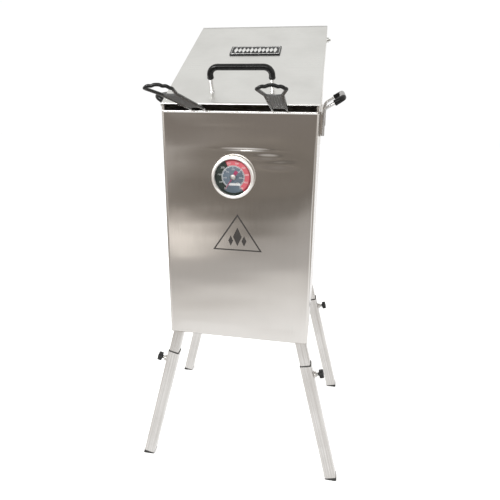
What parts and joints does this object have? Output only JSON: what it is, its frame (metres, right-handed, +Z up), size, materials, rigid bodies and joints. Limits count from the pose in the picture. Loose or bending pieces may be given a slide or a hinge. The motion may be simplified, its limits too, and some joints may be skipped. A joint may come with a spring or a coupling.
{
  "type": "outdoor deep fryer",
  "caption": "Free-standing outdoor deep fryer: stainless cabinet with a sloping hinged lid, dial thermometer and basket handles through a front slot, on splayed telescopic legs.",
  "frame": {"origin": "on the floor under the middle of the whole outline", "axes": "+X to the right seen from the front, +Y to the back, +Z up; the front panel faces -Y"},
  "size_m": [0.4724, 0.623, 1.0114],
  "materials": {
    "shell_steel": "brushed, fine vertical grain",
    "lid_steel": "brushed, satin",
    "tube_steel": "brushed along the tube",
    "vessel_steel": "brushed, oil stained",
    "bright_rod": "polished",
    "bright_fastener": "zinc bright",
    "basket_wire": "plated wire, a little dulled by oil",
    "bezel": "polished",
    "black_grip": "satin black sleeve",
    "black_coating": "dipped black coating on wire",
    "handle_plate": "dark grey satin",
    "black_knob": "moulded",
    "foot_rubber": "moulded",
    "badge": "black with a silver edge",
    "gauge_case": "satin grey",
    "dial_face": "printed dial, blue grey with a red band",
    "gauge_glass": "clear",
    "needle": "dark red with a bright hub",
    "burner_iron": "cast, heat darkened",
    "dark_steel": "plain steel",
    "brass_fitting": "machined",
    "valve_red": "dipped vinyl sleeve"
  },
  "bodies": {
    "fryer_body": {"front_panel": "shell_steel", "side_wall_left": "shell_steel", "side_wall_right": "shell_steel", "rear_panel": "shell_steel", "base_frame": "shell_steel", "side_handle_pad_left": "shell_steel", "side_handle_pad_right": "shell_steel", "side_handle_rod_left": "bright_rod", "side_handle_rod_right": "bright_rod", "side_handle_grip_left": "black_grip", "side_handle_grip_right": "black_grip", "fry_vessel": "vessel_steel", "flue_deck": "vessel_steel", "hinge_bolt_left": "bright_fastener", "hinge_bolt_right": "bright_fastener", "hinge_nut_left": "bright_fastener", "hinge_nut_right": "bright_fastener", "thermometer_case": "gauge_case", "thermometer_bezel": "bezel", "thermometer_dial": "dial_face", "thermometer_glass": "gauge_glass", "thermometer_locknut": "brass_fitting", "burner_casting": "burner_iron", "burner_bracket": "dark_steel", "gas_orifice_fitting": "brass_fitting", "drain_pipe": "tube_steel", "drain_valve_body": "brass_fitting", "leg_stub_front_left": "tube_steel", "leg_stub_front_right": "tube_steel", "leg_stub_rear_left": "tube_steel", "leg_stub_rear_right": "tube_steel"},
    "lid": {"lid_panel": "lid_steel", "lid_handle_rod": "bright_rod", "lid_handle_grip": "black_grip", "lid_handle_nut_left": "bright_fastener", "lid_handle_nut_right": "bright_fastener", "badge_plate": "badge"},
    "needle": {"thermometer_needle": "needle"},
    "air_shutter_disc": {"air_shutter": "dark_steel"},
    "drain_lever": {"drain_valve_lever": "valve_red"},
    "drain_ball": {"drain_valve_ball": "bright_rod"},
    "basket_and_handle_left": {"basket_left": "basket_wire", "basket_handle_left": "black_coating", "basket_handle_plate_left": "handle_plate"},
    "basket_and_handle_right": {"basket_right": "basket_wire", "basket_handle_right": "black_coating", "basket_handle_plate_right": "handle_plate"},
    "leg_front_left": {"lower_leg_front_left": "tube_steel", "rubber_foot_front_left": "foot_rubber"},
    "leg_front_right": {"lower_leg_front_right": "tube_steel", "rubber_foot_front_right": "foot_rubber"},
    "leg_rear_left": {"lower_leg_rear_left": "tube_steel", "rubber_foot_rear_left": "foot_rubber"},
    "leg_rear_right": {"lower_leg_rear_right": "tube_steel", "rubber_foot_rear_right": "foot_rubber"},
    "clamp_front_left": {"thumb_screw_front_left": "black_knob"},
    "clamp_front_right": {"thumb_screw_front_right": "black_knob"},
    "clamp_rear_left": {"thumb_screw_rear_left": "black_knob"},
    "clamp_rear_right": {"thumb_screw_rear_right": "black_knob"}
  },
  "joints": [
    {"name": "lid_hinge", "type": "hinge", "parent": "fryer_body", "child": "lid", "pos_m": [0, 0.26143, 0.97802], "axis": [-1, 0, 0], "range_deg": [0, 100]},
    {"name": "leg_slide_front_left", "type": "slide", "parent": "fryer_body", "child": "leg_front_left", "axis": [-0.2406, -0.0447, -0.9696], "range_m": [-0.05, 0.05]},
    {"name": "leg_slide_front_right", "type": "slide", "parent": "fryer_body", "child": "leg_front_right", "axis": [0.2406, -0.0447, -0.9696], "range_m": [-0.05, 0.05]},
    {"name": "leg_slide_rear_left", "type": "slide", "parent": "fryer_body", "child": "leg_rear_left", "axis": [-0.2406, 0.0447, -0.9696], "range_m": [-0.05, 0.05]},
    {"name": "leg_slide_rear_right", "type": "slide", "parent": "fryer_body", "child": "leg_rear_right", "axis": [0.2406, 0.0447, -0.9696], "range_m": [-0.05, 0.05]},
    {"name": "thumb_screw_turn_front_left", "type": "hinge", "parent": "leg_front_left", "child": "clamp_front_left", "pos_m": [-0.18231, -0.06761, 0.2678], "axis": [-0.9706, 0.0111, 0.2403], "range_deg": [0, 540]},
    {"name": "thumb_screw_turn_front_right", "type": "hinge", "parent": "leg_front_right", "child": "clamp_front_right", "pos_m": [0.18231, -0.06761, 0.2678], "axis": [0.9706, 0.0111, 0.2403], "range_deg": [0, 540]},
    {"name": "thumb_screw_turn_rear_left", "type": "hinge", "parent": "leg_rear_left", "child": "clamp_rear_left", "pos_m": [-0.18231, 0.26451, 0.2678], "axis": [-0.9706, -0.0111, 0.2403], "range_deg": [0, 540]},
    {"name": "thumb_screw_turn_rear_right", "type": "hinge", "parent": "leg_rear_right", "child": "clamp_rear_right", "pos_m": [0.18231, 0.26451, 0.2678], "axis": [0.9706, -0.0111, 0.2403], "range_deg": [0, 540]},
    {"name": "drain_lever_turn", "type": "hinge", "parent": "fryer_body", "child": "drain_lever", "pos_m": [0.06, -0.03055, 0.414], "axis": [0, 1, 0], "range_deg": [0, 90]},
    {"name": "drain_ball_turn", "type": "hinge", "parent": "fryer_body", "child": "drain_ball", "pos_m": [0.06, -0.03055, 0.414], "axis": [0, 1, 0], "range_deg": [0, 90]},
    {"name": "air_shutter_turn", "type": "hinge", "parent": "fryer_body", "child": "air_shutter_disc", "pos_m": [0, 0.29445, 0.47], "axis": [0, 1, 0], "range_deg": [0, 45]},
    {"name": "needle_turn", "type": "hinge", "parent": "fryer_body", "child": "needle", "pos_m": [-0.009, -0.08355, 0.71], "axis": [0, 1, 0], "range_deg": [0, 290]},
    {"name": "basket_lift_left", "type": "slide", "parent": "fryer_body", "child": "basket_and_handle_left", "axis": [0, 0, 1], "range_m": [0, 0.005]},
    {"name": "basket_lift_right", "type": "slide", "parent": "fryer_body", "child": "basket_and_handle_right", "axis": [0, 0, 1], "range_m": [0, 0.005]}
  ],
  "couplings": [
    {"joint": "drain_ball_turn", "follows": "drain_lever_turn", "ratio": 1}
  ]
}
